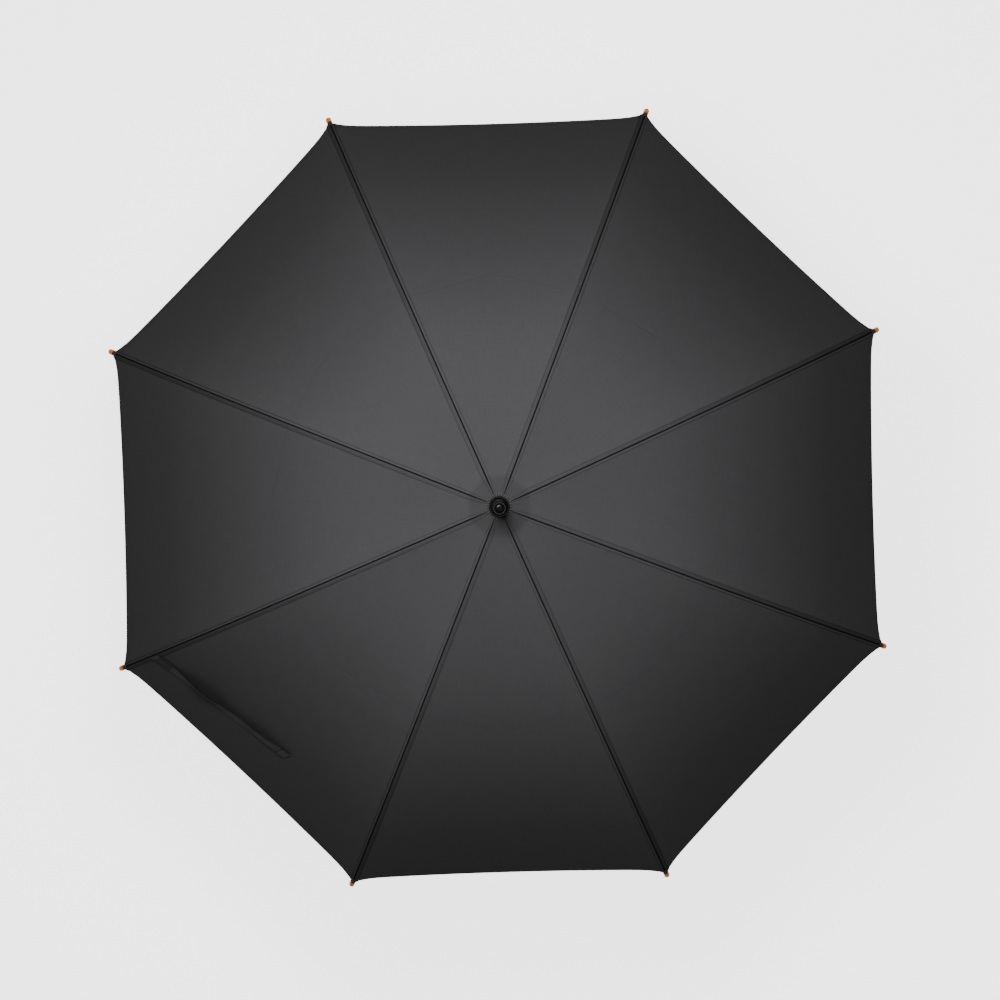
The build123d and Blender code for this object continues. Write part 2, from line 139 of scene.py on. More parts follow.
def slope_between(a, b):
    return math.atan2(a[1] - b[1], b[0] - a[0])


# the inner arc leaves the crown at its slope, and the outer one goes on in the direction the inner one ends in
INNER = Arc(CROWN, JOINT, slope_between(CROWN, JOINT) - CROWN_SLOPE)
OUTER = Arc(JOINT, TIP, slope_between(JOINT, TIP) - 2 * slope_between(CROWN, JOINT) + CROWN_SLOPE)
CLOTH_END = INNER.length + OUTER.length - TIP_OUT

# ---- cloth --------------------------------------------------------------------------------------
CLOTH_T = 0.25 * MM
LIFT = RIB_TOP + 1.2 * MM  # cloth's underside over a rib's centre line
CROWN_RISE = 2.6 * MM
CROWN_BLEND = 40 * MM
CROWN_STEP = 0.5 * MM  # a round patch of the cloth stands out this much, and is wider than the inner rosette
CROWN_STEP_R = 27 * MM
CROWN_STEP_SOFT = 1.2 * MM
NECK_R = 8.6 * MM
JOINT_BUMP = 1.3 * MM
JOINT_BUMP_SPREAD = (9 * MM, 5 * MM)  # along the rib, and aside from it
SAG = 8 * MM
HEM_SAG = 3 * MM
HEM_HOLLOW = 1.5 * MM
HEM_NECK = 9 * MM  # hem's extra curve out to each tip
HEM_NECK_W = 10 * MM
HEM_W = 8 * MM
HEM_RAISE = 0.35 * MM
HEM_ROLL = 0.6 * MM
RIDGE_W = 1.6 * MM
GROOVE = 1.1 * MM  # depth of the groove along a seam
GROOVE_W = 0.9 * MM
FELL = (1.4 * MM, 6.2 * MM)  # turned edge of the cloth, sewn down on the anticlockwise side of a seam
FELL_RAISE = 0.4 * MM
SOFT = 0.2 * MM


def step(x, soft=SOFT):
    """0 below and 1 above x = 0, softly."""
    return 1 / (1 + np.exp(-np.clip(x / soft, -40, 40)))


def bell(x, middle, spread):
    return np.exp(-(((x - middle) / spread) ** 2))


def over_rib(along, up):
    """Radius and height over the rib, arrays."""
    along, up = np.broadcast_arrays(np.asarray(along, float), np.asarray(up, float))
    flat = INNER.at(np.zeros_like(along), up)
    inner = INNER.at(np.clip(along, 0, INNER.length), up)
    outer = OUTER.at(np.maximum(along - INNER.length, 0), up)
    r = np.where(along <= 0, flat[0] + along, np.where(along <= INNER.length, inner[0], outer[0]))
    z = np.where(along <= 0, flat[1], np.where(along <= INNER.length, inner[1], outer[1]))
    return r, z


def rib_slope(along):
    return np.where(
        along <= INNER.length, INNER.slope(np.maximum(along, 0)), OUTER.slope(along - INNER.length)
    )


def cloth(along, aside, up=0.0):
    """The canopy beside one rib, in the rib's own frame: arrays of (out, aside, height).

    along is measured over the rib from the crown's pivot, and aside from the rib's seam towards the
    middle of the gore, in metres along the straight line that joins two ribs.
    """
    along, aside, up = np.broadcast_arrays(along, aside, up)
    share = np.clip(along / CLOTH_END, 0, 1)
    near_crown = np.clip(1 - along / CROWN_BLEND, 0, 1) ** 2
    near_joint = bell(along, INNER.length, JOINT_BUMP_SPREAD[0]) * bell(aside, 0, JOINT_BUMP_SPREAD[1])
    # rounded over the rib, where the two gores meet
    fall = aside - np.sqrt(aside**2 + RIDGE_W**2) + RIDGE_W
    plain = np.maximum(over_rib(along, LIFT)[0], NECK_R)
    part = np.clip(aside / (plain * math.sin(HALF_GORE)), 0, 1)
    across = 1 - (1 - part) ** 2
    neck = 1 - np.exp(-aside / HEM_NECK_W)
    station = along - (HEM_HOLLOW * across + HEM_NECK * neck) * share**6
    r, z = over_rib(station, LIFT)
    slope = rib_slope(station)
    raised = CROWN_RISE * near_crown + JOINT_BUMP * near_joint + up
    raised = raised + fall * math.sin(HALF_GORE) * np.sin(slope)
    raised = raised + CROWN_STEP * step(CROWN_STEP_R - plain, CROWN_STEP_SOFT)
    raised = raised - across * (SAG * np.sin(math.pi * share) + HEM_SAG * share**2)
    # every shift runs straight out from the shaft, so that two half gores meet in the plane between them
    scale = (r + raised * np.sin(slope)) / plain
    out = (plain - aside * math.sin(HALF_GORE)) * scale
    sideways = aside * math.cos(HALF_GORE) * scale
    return np.stack([out, sideways, z + raised * np.cos(slope)], -1)


def cloth_normal(along, aside, apart=0.4 * MM):
    """Outward unit normals of the plain cloth, smooth over the seam and the middle of the gore."""
    a = cloth(along + apart, aside) - cloth(along - apart, aside)
    b = cloth(along, aside + apart) - cloth(along, np.maximum(aside - apart, 0))
    normal = np.cross(a, b)
    normal *= np.sign(normal[..., 2:3])
    return normal / np.linalg.norm(normal, axis=-1, keepdims=True)


def half_width(along):
    return np.maximum(over_rib(along, LIFT)[0], NECK_R) * math.sin(HALF_GORE)


# columns close together beside the seam, then spread to the middle of the gore
SEAM_COLUMNS = np.array([0, 0.35, 0.7, 1.1, 1.3, 1.5, 1.9, 2.8, 4.2, 5.6, 6.0, 6.2, 6.4, 6.8, 8.5]) * MM
WIDE_COLUMNS = 13
# rows: close together at the crown and over the hem, whose rows are counted back from its edge
ROW_STEP = 7 * MM
CROWN_ROW_STEP = 3 * MM
CROWN_ROWS_END = 24 * MM
WIDE_ROWS_START = 30 * MM
HEM_ROWS_START = 16 * MM
HEM_ROWS = np.array([12, 10, 9, 8.4, 8, 7.6, 7, 6.4, 6, 5, 3, 1.4, 0.6, 0.2, 0]) * MM


def seam_spread(width):
    """The seams' detail draws together where the gores are narrow."""
    return np.minimum(1, 0.6 * width / SEAM_COLUMNS[-1])


def columns(width):
    """Distances from the seam for each width, shape (rows, columns)."""
    width = np.asarray(width)[:, None]
    near = SEAM_COLUMNS[None, :] * seam_spread(width)
    steps = np.arange(1, WIDE_COLUMNS + 1)[None, :] / WIDE_COLUMNS
    far = near[:, -1:] + (width - near[:, -1:]) * steps**1.15
    return np.hstack([near, far])


def along_rows(start, end, spacing):
    return np.linspace(start, end, max(2, int(math.ceil((end - start) / spacing)) + 1))


def shell(name, top, normals, thick, maps):
    """A thin closed sheet from a grid of outer points, its normals and its thickness."""
    rows, cols = top.shape[:2]
    count = rows * cols
    low = top - normals * np.broadcast_to(thick, top.shape[:2])[..., None]
    verts = np.vstack([top.reshape(-1, 3), low.reshape(-1, 3)])
    index = np.arange(count).reshape(rows, cols)
    quads = np.stack([index[:-1, :-1], index[:-1, 1:], index[1:, 1:], index[1:, :-1]], -1).reshape(-1, 4)
    edge = np.concatenate([index[0, :], index[1:, -1], index[-1, -2::-1], index[-2:0:-1, 0]])
    after = np.roll(edge, -1)
    walls = np.stack([after, edge, edge + count, after + count], -1)
    faces = np.vstack([quads, quads[:, ::-1] + count, walls])
    mesh = bpy.data.meshes.new(name)
    mesh.from_pydata(verts.tolist(), [], faces.tolist())
    flat = normals.reshape(-1, 3)
    # the grid's own winding may face inwards, on the half that lies clockwise of its rib
    first = np.cross(verts[quads[0, 1]] - verts[quads[0, 0]], verts[quads[0, 3]] - verts[quads[0, 0]])
    if first @ flat[quads[0, 0]] < 0:
        mesh.flip_normals()
    loops = np.empty(len(mesh.loops), int)
    mesh.loops.foreach_get("vertex_index", loops)
    for layer_name, uv in maps.items():
        layer = mesh.uv_layers.new(name=layer_name)
        layer.data.foreach_set("uv", np.tile(uv.reshape(-1, 2), (2, 1))[loops].ravel())
    mesh.shade_smooth()
    # smooth over and under the sheet, and flat round its cut edge
    per_loop = np.where((loops < count)[:, None], flat[loops % count], -flat[loops % count])
    wall_faces = mesh.polygons[len(quads) * 2 :]
    wall_loops = np.zeros(len(loops), bool)
    for p in wall_faces:
        wall_loops[p.loop_start : p.loop_start + p.loop_total] = True
    per_loop[wall_loops] = np.repeat([list(p.normal) for p in wall_faces], 4, axis=0)
    mesh.normals_split_custom_set(per_loop.tolist())
    obj = bpy.data.objects.new(name, mesh)
    bpy.context.scene.collection.objects.link(obj)
    return obj


def placed(points, n, side):
    """Points in a rib's own frame, on its anticlockwise (+1) or clockwise (-1) side, in the model's frame."""
    turn = rib_turn(n)
    out, aside, height = points[..., 0], side * points[..., 1], points[..., 2]
    return np.stack(
        [
            out * math.cos(turn) - aside * math.sin(turn),
            out * math.sin(turn) + aside * math.cos(turn),
            height,
        ],
        -1,
    )


JOINT_LAP = 8 * MM  # inner cloth reaches this far under the outer, at the rib's joint
JOINT_DIP = 0.3 * MM  # and lies this much lower there
JOINT_DIP_L = 12 * MM
DETAIL_FROM = 150 * MM  # along the rib: nearer to the crown the seams' relief gets shallower


def fold(obj):
    """Give the piece its own copy of its mesh."""
    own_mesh(obj)


def split_row(fraction):
    """How much further along the rib the joint's split lies, at this share of the half gore."""
    shift = JOINT[0] * math.sin(HALF_GORE) ** 2 * math.cos(slope_between(CROWN, JOINT))
    return shift * fraction


def half_gore(n, side, part, material):
    """The cloth on one side of a rib, from the crown to the joint or from the joint to the hem."""
    first = NECK_R - INNER.at(0, LIFT + CROWN_RISE)[0]
    if part == "inner":
        plain = np.concatenate([
            along_rows(first, CROWN_ROWS_END, CROWN_ROW_STEP),
            along_rows(WIDE_ROWS_START, INNER.length, ROW_STEP),
        ])
        reach = np.clip((plain - 0.5 * INNER.length) / (0.5 * INNER.length), 0, 1) ** 2
        lap = JOINT_LAP * reach
    else:
        plain = np.concatenate([
            along_rows(INNER.length, CLOTH_END - HEM_ROWS_START, ROW_STEP),
            CLOTH_END - HEM_ROWS,
        ])
        reach = np.clip((CLOTH_END - plain) / (CLOTH_END - INNER.length), 0, 1) ** 1.5
        lap = np.zeros_like(plain)
    fraction = columns(half_width(plain)) / half_width(plain)[:, None]
    along = plain[:, None] + (split_row(fraction) * reach[:, None]) + lap[:, None]
    width = half_width(along)
    aside = fraction * width
    from_seam = aside / seam_spread(width)
    from_hem = CLOTH_END - along
    below = 0.0
    if part == "inner":
        start = INNER.length - JOINT_DIP_L
        below = JOINT_DIP * np.clip((plain - start) / JOINT_DIP_L, 0, 1)[:, None]
    hem = step(HEM_W - from_hem, 0.3 * MM)
    relief = np.clip(along / DETAIL_FROM, 0.2, 1)
    raised = HEM_RAISE * hem - HEM_ROLL * np.clip(1 - from_hem / (1.2 * MM), 0, 1) ** 2
    raised = raised - relief * GROOVE * np.exp(-((from_seam / GROOVE_W) ** 2))
    if side > 0:
        fell = step(from_seam - FELL[0], 0.1 * MM) * step(FELL[1] - from_seam, 0.1 * MM)
        raised = raised + relief * FELL_RAISE * fell
    points = cloth(along, aside) + cloth_normal(along, aside) * (raised - below + CLOTH_T)[..., None]
    normals = surface_normals(points)
    thick = CLOTH_T + np.maximum(raised, 0)
    maps = {
        "cloth": np.stack([side * (aside - width), along * math.cos(HALF_GORE)], -1),
        "seam": np.stack([side * from_seam, from_hem], -1),
    }
    name = f"canopy_{part}_{n}_{'left' if side > 0 else 'right'}"
    obj = shell(name, placed(points, n, side), placed(normals, n, side), thick, maps)
    obj.data.materials.append(material)
    if side > 0:
        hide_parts(f"canopy_panel_{n}")
        if part == "outer":
            tip_collar(n)
    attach(obj, f"rib_{part}_{n}")
    fold(obj)


def surface_normals(points):
    """Unit normals of a grid in the rib's frame. At the seam and mid gore they follow the mirror."""
    down = np.gradient(points, axis=0)
    over = np.gradient(points, axis=1)
    normal = np.cross(down, over)
    normal *= np.sign(normal[..., 2:3])
    # over the seam the surface runs straight across, and so it does across the middle of the gore
    normal[:, 0, 1] = 0
    middle = np.array([-math.sin(HALF_GORE), math.cos(HALF_GORE), 0])
    normal[:, -1] -= (normal[:, -1] @ middle)[:, None] * middle
    return normal / np.linalg.norm(normal, axis=-1, keepdims=True)


# ---- tie strap and tip collars ------------------------------------------------------------------
STRAP_RIB = 5
STRAP_L = 205 * MM
STRAP_W = 14.5 * MM
STRAP_T = 0.9 * MM
STRAP_FROM_TIP = 82 * MM  # from the end of the tip, along the rib
STRAP_DRIFT = 19 * MM  # its free end lies this much nearer to the crown, and the bow besides
STRAP_BOW = 10 * MM  # grows with the square of the way along
STRAP_START = 2 * MM
STRAP_REACH = 0.955  # way across the gore for each length of strap
STRAP_WAVES = ((7.5 * MM, 76 * MM, 36 * MM), (4 * MM, 152 * MM, 28 * MM))  # height, place, spread
STRAP_LIE = 0.4 * MM
STRAP_ROUND = 0.35 * MM
PATCH_W = 10.5 * MM
PATCH_T = 0.9 * MM
LOOP_PATCH = (6 * MM, 26 * MM)
HOOK_PATCH = (169 * MM, 189 * MM)
STRAP_END_FOLD = 192 * MM  # its end is turned back from here on
STRAP_END_T = 0.7 * MM
CREASE = (55 * MM, 118 * MM)
CREASE_DEPTH = 0.3 * MM
CREASE_W = 1.1 * MM
CREASE_SOFT = 4 * MM
TAPE_GAP = 0.05 * MM


def gore(n, along, aside):
    """The cloth's top and its normals anywhere over the gore after rib n, measured from rib n."""
    width = half_width(along)
    past = (aside > width)[..., None]
    own = np.where(past[..., 0], 2 * width - aside, aside)
    points, normals = cloth(along, own, CLOTH_T), cloth_normal(along, own)
    after = n % 8 + 1
    return (
        np.where(past, placed(points, after, -1), placed(points, n, 1)),
        np.where(past, placed(normals, after, -1), placed(normals, n, 1)),
    )


def strap_height(s, t):
    """The strap's underside over the cloth: its edge nearest to the crown stands off in two waves."""
    edge = np.clip(t / STRAP_W + 0.5, 0, 1) ** 2.4
    waves = sum(high * bell(s, at, spread) for high, at, spread in STRAP_WAVES)
    lie = STRAP_LIE + 0.3 * MM * bell(s, 74 * MM, 45 * MM)
    over_patch = (PATCH_T + 0.1 * MM) * bell(s, sum(HOOK_PATCH) / 2, 16 * MM)
    over_fell = 0.6 * MM * np.clip(1 - s / (12 * MM), 0, 1)
    return lie + over_patch + over_fell + waves * edge


def strap_strip(name, start, end, width, low, thick, soft, material, slot):
    """A strip of the strap from start to end, its underside low above the strap's own underside."""
    long = along_rows(start + 1 * MM, end - 1 * MM, 3 * MM)
    long = np.concatenate([[start, start + 0.3 * MM], long, [end - 0.3 * MM, end]])
    half = width / 2
    wide = np.array([-half, -half + 0.12 * MM, -half + 0.4 * MM, -half + 1 * MM, -half + 2 * MM])
    wide = np.concatenate([wide, np.linspace(-half + 3.2 * MM, half - 3.2 * MM, 9), -wide[::-1]])
    s, t = np.meshgrid(long, wide, indexing="ij")
    over = strap_height(s, t) + low
    base = INNER.length + OUTER.length - STRAP_FROM_TIP
    share = s / STRAP_L
    along = base - STRAP_DRIFT * share - STRAP_BOW * share**2 - t
    points, normals = gore(STRAP_RIB, along, STRAP_START + (s - STRAP_START) * STRAP_REACH)
    nearest_edge = np.minimum(half - np.abs(t), np.minimum(s - start, end - s))
    rounding = soft * np.clip(1 - nearest_edge / soft, 0, 1) ** 2
    made = thick - rounding
    if slot == "strap_web":
        made = made + STRAP_END_T * step(s - STRAP_END_FOLD, 0.25 * MM)
        crease = bell(t, 0, CREASE_W) * step(s - CREASE[0], CREASE_SOFT) * step(CREASE[1] - s, CREASE_SOFT)
        made = made - CREASE_DEPTH * crease
    top = points + normals * (over + made)[..., None]
    down, across = np.gradient(top, axis=0), np.gradient(top, axis=1)
    face = np.cross(down, across)
    face *= np.sign((face * normals).sum(-1, keepdims=True))
    face /= np.linalg.norm(face, axis=-1, keepdims=True)
    obj = shell(name, top, face, made, {"cloth": np.stack([t, s], -1)})
    obj.data.materials.append(material)
    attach(obj, f"rib_outer_{STRAP_RIB}")
    fold(obj)
    return obj


def strap():
    """The strap's web, with a tape sewn on its top at the seam and one under its free end."""
    web = strap_strip(
        "tie_strap_web", STRAP_START, STRAP_L, STRAP_W, 0, STRAP_T, STRAP_ROUND, STRAP_CLOTH, "strap_web",
    )
    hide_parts("tie_strap")
    loop = strap_strip(
        "strap_loop_tape", *LOOP_PATCH, PATCH_W, STRAP_T + TAPE_GAP, PATCH_T, STRAP_ROUND, TAPE,
        "hook_and_loop",
    )
    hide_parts("strap_loop_patch")
    hook = strap_strip(
        "strap_hook_tape", *HOOK_PATCH, PATCH_W, -PATCH_T - TAPE_GAP, PATCH_T, STRAP_ROUND, TAPE,
        "hook_and_loop",
    )
    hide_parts("strap_hook_patch")


COLLAR = (13.3 * MM, 22 * MM)  # from the end of the tip
COLLAR_R = (3.05 * MM, 3.5 * MM)
COLLAR_T = 0.4 * MM
COLLAR_ROWS = 11
COLLAR_SIDES = 40


def tip_collar(n):
    """The turned end of the seam that hugs a wooden tip: a short puckered tube of cloth."""
    rows, sides = COLLAR_ROWS, COLLAR_SIDES
    share = np.linspace(0, 1, rows)[:, None]
    turn = np.linspace(0, 2 * math.pi, sides, endpoint=False)[None, :]
    back = COLLAR[0] + (COLLAR[1] - COLLAR[0]) * share
    plain = COLLAR_R[0] + (COLLAR_R[1] - COLLAR_R[0]) * share - 0.3 * MM * bell(share, 0.25, 0.18)
    pucker = 0.16 * MM * np.sin(7 * turn + n) * share + 0.07 * MM * np.sin(11 * turn + 2 * n)
    plain = plain + pucker - 0.2 * MM * bell(share, 0, 0.06)
    centre = np.stack(OUTER.at(OUTER.length - back[:, 0], np.zeros(rows)), -1)
    slope = OUTER.slope(OUTER.length - back[:, 0])
    verts = []
    for depth in (0.0, COLLAR_T):
        out = (plain - depth) * np.cos(turn)
        aside = (plain - depth) * np.sin(turn)
        r = centre[:, :1] + out * np.sin(slope)[:, None]
        z = centre[:, 1:] + out * np.cos(slope)[:, None]
        verts.append(placed(np.stack([r, aside, z], -1), n, 1).reshape(-1, 3))
    count = rows * sides
    faces = []
    for i in range(rows - 1):
        for j in range(sides):
            a, b = i * sides + j, i * sides + (j + 1) % sides
            faces.append((a, b, b + sides, a + sides))
            faces.append((a + sides + count, b + sides + count, b + count, a + count))
    for i, flip in ((0, False), (rows - 1, True)):
        for j in range(sides):
            a, b = i * sides + j, i * sides + (j + 1) % sides
            ring = (b, a, a + count, b + count)
            faces.append(ring[::-1] if flip else ring)
    mesh = bpy.data.meshes.new(f"tip_collar_{n}")
    mesh.from_pydata(np.vstack(verts).tolist(), [], faces)
    mesh.shade_smooth()
    mesh.materials.append(COLLAR_CLOTH)
    obj = bpy.data.objects.new(mesh.name, mesh)
    bpy.context.scene.collection.objects.link(obj)
    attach(obj, f"rib_outer_{n}")
    return obj


# ---- materials ----------------------------------------------------------------------------------
class Material:
    """A node tree with a principled shader. Inputs are numbers, colours or other nodes' outputs."""

    def __init__(self, name, colour=None, **inputs):
        self.material = bpy.data.materials.new(name)
        self.material.use_nodes = True
        self.tree = self.material.node_tree
        self.tree.nodes.clear()
        out = self.tree.nodes.new("ShaderNodeOutputMaterial")
        self.shader = self.tree.nodes.new("ShaderNodeBsdfPrincipled")
        self.tree.links.new(self.shader.outputs[0], out.inputs[0])
        if colour is not None:
            self.set(self.shader, "Base Color", (*colour, 1))
        for key, value in inputs.items():
            self.set(self.shader, key.replace("_", " ").title().replace("Ior", "IOR"), value)

    def set(self, made, key, value):
        if isinstance(value, bpy.types.NodeSocket):
            self.tree.links.new(value, made.inputs[key])
        else:
            made.inputs[key].default_value = value

    def node(self, kind, out=0, settings=(), **inputs):
        """Make a node and return one of its outputs. Inputs named n0, n1 and so on go by number."""
        made = self.tree.nodes.new("ShaderNode" + kind)
        for key, value in dict(settings).items():
            setattr(made, key, value)
        for key, value in inputs.items():
            self.set(made, int(key[1:]) if key[0] == "n" and key[1:].isdigit() else key, value)
        return made.outputs[out]

    def math(self, operation, a, b=0.0, c=0.0):
        return self.node("Math", settings={"operation": operation}, n0=a, n1=b, n2=c)

    def between(self, value, low, high, soft):
        """1 where value is between low and high, falling to 0 over soft outside them."""
        up = self.node("MapRange", n0=value, n1=low - soft, n2=low, n3=0.0, n4=1.0)
        down = self.node("MapRange", n0=value, n1=high, n2=high + soft, n3=1.0, n4=0.0)
        return self.math("MULTIPLY", up, down)

    def ramp(self, value, *stops):
        """Colours at places along value. The first two stops take the ramp's own two elements."""
        made = self.tree.nodes.new("ShaderNodeValToRGB")
        elements = made.color_ramp.elements
        for k, (at, colour) in enumerate(stops):
            element = elements[k] if k < 2 else elements.new(at)
            element.position, element.color = at, (*colour, 1)
        self.set(made, 0, value)
        return made.outputs[0]

    def darken(self, colour, mask, share):
        """Multiply a colour by 1 - share where mask is 1."""
        factor = self.math("MULTIPLY_ADD", mask, -share, 1.0)
        return self.node("VectorMath", settings={"operation": "SCALE"}, n0=colour, Scale=factor)

    def bump(self, height, distance, strength=1.0, below=None):
        inputs = {"Height": height, "Distance": distance, "Strength": strength}
        if below is not None:
            inputs["Normal"] = below
        return self.node("Bump", **inputs)

    def noise(self, where, scale, detail=3.0, roughness=0.5):
        return self.node("TexNoise", Vector=where, Scale=scale, Detail=detail, Roughness=roughness)

    def place(self, stretch=(1, 1, 1)):
        where = self.node("TexCoord", 3)
        return self.node("Mapping", Vector=where, Scale=stretch)


def weave(m, where, pitch, colour, contrast):
    """Plain weave: its colour and its bump's height."""
    scale = 2 * math.pi / 20 / pitch
    warp = m.node("TexWave", 1, {"bands_direction": "X"}, Vector=where, Scale=scale)
    weft = m.node("TexWave", 1, {"bands_direction": "Y"}, Vector=where, Scale=scale)
    height = m.math("MAXIMUM", warp, weft)
    slub = m.noise(m.node("Mapping", Vector=where, Scale=(1, 0.06, 1)), 900.0, 2.0)
    cross = m.noise(m.node("Mapping", Vector=where, Scale=(0.06, 1, 1)), 900.0, 2.0)
    both = m.math("ADD", slub, cross)
    low, high = (tuple(c * k for c in colour) for k in (1 - contrast, 1 + contrast))
    return m.ramp(m.math("MULTIPLY", both, 0.5), (0.35, low), (0.65, high)), height


STITCH = 3.0 * MM
THREAD = 0.5 * MM
ROSETTE_TEETH = 28
FINE_WEAVE = 0.36 * MM
COARSE_WEAVE = 0.4 * MM


def stitches(m, along, across, at, width):
    """A row of stitches: 1 on the thread, at this distance across, dashed along."""
    line = m.between(across, at - width / 2, at + width / 2, width / 3)
    dash = m.math("PINGPONG", along, STITCH / 2)
    return m.math("MULTIPLY", line, m.between(dash, 0.0, STITCH * 0.36, STITCH * 0.06))


BLACK_CLOTH = (0.038, 0.038, 0.0395)
CLOTH_ROUGH = 0.5
CLOTH_SPECULAR = 0.0
FELL_BACK = -4.0 * MM  # stitches and cut edge on the clockwise side of a seam
# Painted shade: the cloth's colour at shares of the way from the hem to the crown, chosen so that the
# brightness falls off as the picture's does. It is darker towards the hem, where the sloping cloth turns from
# the lamps, and darker in a round patch at the crown, which is the ferrule and cap's painted shadow and partly
# the inner rosette showing through. How much of it is fading of the cloth and how much is light isn't known.
PAINTED_SHADE_STOPS = (
    (0.0, 0.62), (1.0, 0.82), (0.17, 0.66), (0.33, 0.8), (0.52, 0.97), (0.62, 1.07), (0.72, 1.08),
    (0.949, 1.0), (0.958, 0.86),
)
COLLAR_SHADE = 0.7
# painted shade: the strap is the canopy's cloth made darker, so that it shows no brighter than the cloth it
# lies on
STRAP_PAINTED_SHADE = 0.72


def shaded(shade):
    return tuple(shade * c for c in BLACK_CLOTH)


def cloth_material():
    m = Material("canopy cloth", roughness=CLOTH_ROUGH, specular_ior_level=CLOTH_SPECULAR)
    where = m.node("UVMap", settings={"uv_map": "cloth"})
    colour, height = weave(m, where, FINE_WEAVE, BLACK_CLOTH, 0.07)
    from_seam = m.node("SeparateXYZ", n0=m.node("UVMap", settings={"uv_map": "seam"}))
    from_hem = from_seam.node.outputs[1]
    line = m.between(from_seam, -0.7 * MM, 0.7 * MM, 0.5 * MM)
    fell = m.between(from_seam, FELL[0], FELL[1], 0.5 * MM)
    edge = m.between(from_seam, FELL_BACK - 0.4 * MM, FELL_BACK + 0.4 * MM, 0.4 * MM)
    # the lines beside the seams are fainter towards the crown
    outside = m.node("MapRange", n0=from_hem, n1=0.52, n2=0.2, n3=0.25, n4=1.0)
    colour = m.darken(colour, m.math("MULTIPLY", fell, outside), 0.26)
    colour = m.darken(colour, m.math("MULTIPLY", edge, outside), 0.3)
    # the dark line along each seam is partly the seam's thread and partly painted shade in its recess
    colour = m.darken(colour, line, 0.85)
    # painted shade: the cloth is darkened towards the hem and in a round patch at the crown
    painted_shade = m.ramp(m.math("MULTIPLY", from_hem, 1 / CLOTH_END), *((at, (shade,) * 3) for at, shade in PAINTED_SHADE_STOPS))
    colour = m.node("VectorMath", settings={"operation": "MULTIPLY"}, n0=colour, n1=painted_shade)
    # painted shade along the rolled edge of the hem, where the cloth turns under
    hem = m.between(from_hem, -1 * MM, 1.0 * MM, 0.8 * MM)
    colour = m.darken(colour, hem, 0.5)
    thread = stitches(m, from_hem, from_seam, FELL[1] - 1.1 * MM, THREAD)
    thread = m.math("MAXIMUM", thread, stitches(m, from_hem, from_seam, FELL_BACK, THREAD))
    thread = m.math("MAXIMUM", thread, stitches(m, from_seam, from_hem, HEM_W - 1.2 * MM, THREAD))
    colour = m.darken(colour, thread, 0.35)
    m.set(m.shader, "Base Color", colour)
    woven = m.bump(height, 0.06 * MM, 0.5)
    m.set(m.shader, "Normal", m.bump(thread, 0.25 * MM, 0.8, woven))
    return m.material


def collar_cloth():
    m = Material("collar cloth", roughness=0.6, specular_ior_level=CLOTH_SPECULAR)
    shade, height = weave(m, m.place(), COARSE_WEAVE, shaded(COLLAR_SHADE), 0.12)
    m.set(m.shader, "Base Color", shade)
    m.set(m.shader, "Normal", m.bump(height, 0.08 * MM, 0.6))
    return m.material


def pinked_cloth():
    """The rosettes' cloth, with painted shade in the gaps between the teeth of its cut edge."""
    m = Material("rosette cloth", roughness=0.7, specular_ior_level=CLOTH_SPECULAR)
    where = m.place()
    shade, height = weave(m, where, COARSE_WEAVE, (0.042, 0.042, 0.0435), 0.12)
    place = m.node("SeparateXYZ", n0=where)
    x, y = place, place.node.outputs[1]
    radius = m.math("SQRT", m.math("ADD", m.math("MULTIPLY", x, x), m.math("MULTIPLY", y, y)))
    wave = m.math("COSINE", m.math("MULTIPLY", m.math("ARCTAN2", y, x), ROSETTE_TEETH))
    # painted shade: the cloth is darkened between the teeth of the pinked edge, where shade falls in the gaps
    tooth_gap_shade = m.node("MapRange", n0=wave, n1=0.3, n2=-0.5, n3=0.0, n4=1.0)
    tooth_gap_shade = m.math("MULTIPLY", tooth_gap_shade, m.between(radius, 12.4 * MM, 16 * MM, 0.6 * MM))
    m.set(m.shader, "Base Color", m.darken(shade, tooth_gap_shade, 0.75))
    m.set(m.shader, "Normal", m.bump(height, 0.08 * MM, 0.6))
    return m.material


def strap_material():
    """Folded canopy cloth, sewn along both edges and in a box over each patch."""
    m = Material("strap cloth", roughness=CLOTH_ROUGH, specular_ior_level=CLOTH_SPECULAR)
    where = m.node("UVMap", settings={"uv_map": "cloth"})
    # painted shade: darker than the canopy's own cloth
    colour, height = weave(m, where, FINE_WEAVE, shaded(STRAP_PAINTED_SHADE), 0.07)
    across = m.node("SeparateXYZ", n0=where)
    along = across.node.outputs[1]
    thread = stitches(m, along, m.math("ABSOLUTE", across), STRAP_W / 2 - 1.3 * MM, THREAD)
    for start, end in (LOOP_PATCH, HOOK_PATCH):
        inside = m.between(along, start, end, 0.1 * MM)
        side = stitches(m, along, m.math("ABSOLUTE", across), PATCH_W / 2 - 1 * MM, THREAD)
        thread = m.math("MAXIMUM", thread, m.math("MULTIPLY", side, inside))
        within = m.between(across, 1 * MM - PATCH_W / 2, PATCH_W / 2 - 1 * MM, 0.1 * MM)
        for at in (start + 1 * MM, end - 1 * MM):
            cross = stitches(m, across, along, at, THREAD)
            thread = m.math("MAXIMUM", thread, m.math("MULTIPLY", cross, within))
    colour = m.darken(colour, thread, 0.45)
    # painted shade along the crease where the strap's end is turned back
    end_fold_shade = m.between(along, STRAP_END_FOLD - 0.5 * MM, STRAP_END_FOLD + 0.3 * MM, 0.3 * MM)
    colour = m.darken(colour, end_fold_shade, 0.8)
    m.set(m.shader, "Base Color", colour)
    woven = m.bump(height, 0.06 * MM, 0.5)
    m.set(m.shader, "Normal", m.bump(thread, 0.3 * MM, 0.9, woven))
    return m.material


def touch_tape():
    m = Material("hook and loop", roughness=0.9, specular_ior_level=0.0)
    fuzz = m.noise(m.place(), 2600.0, 4.0, 0.7)
    m.set(m.shader, "Base Color", m.ramp(fuzz, (0.35, (0.012, 0.012, 0.013)), (0.7, (0.032, 0.032, 0.034))))
    m.set(m.shader, "Normal", m.bump(fuzz, 0.5 * MM, 1.0))
    return m.material


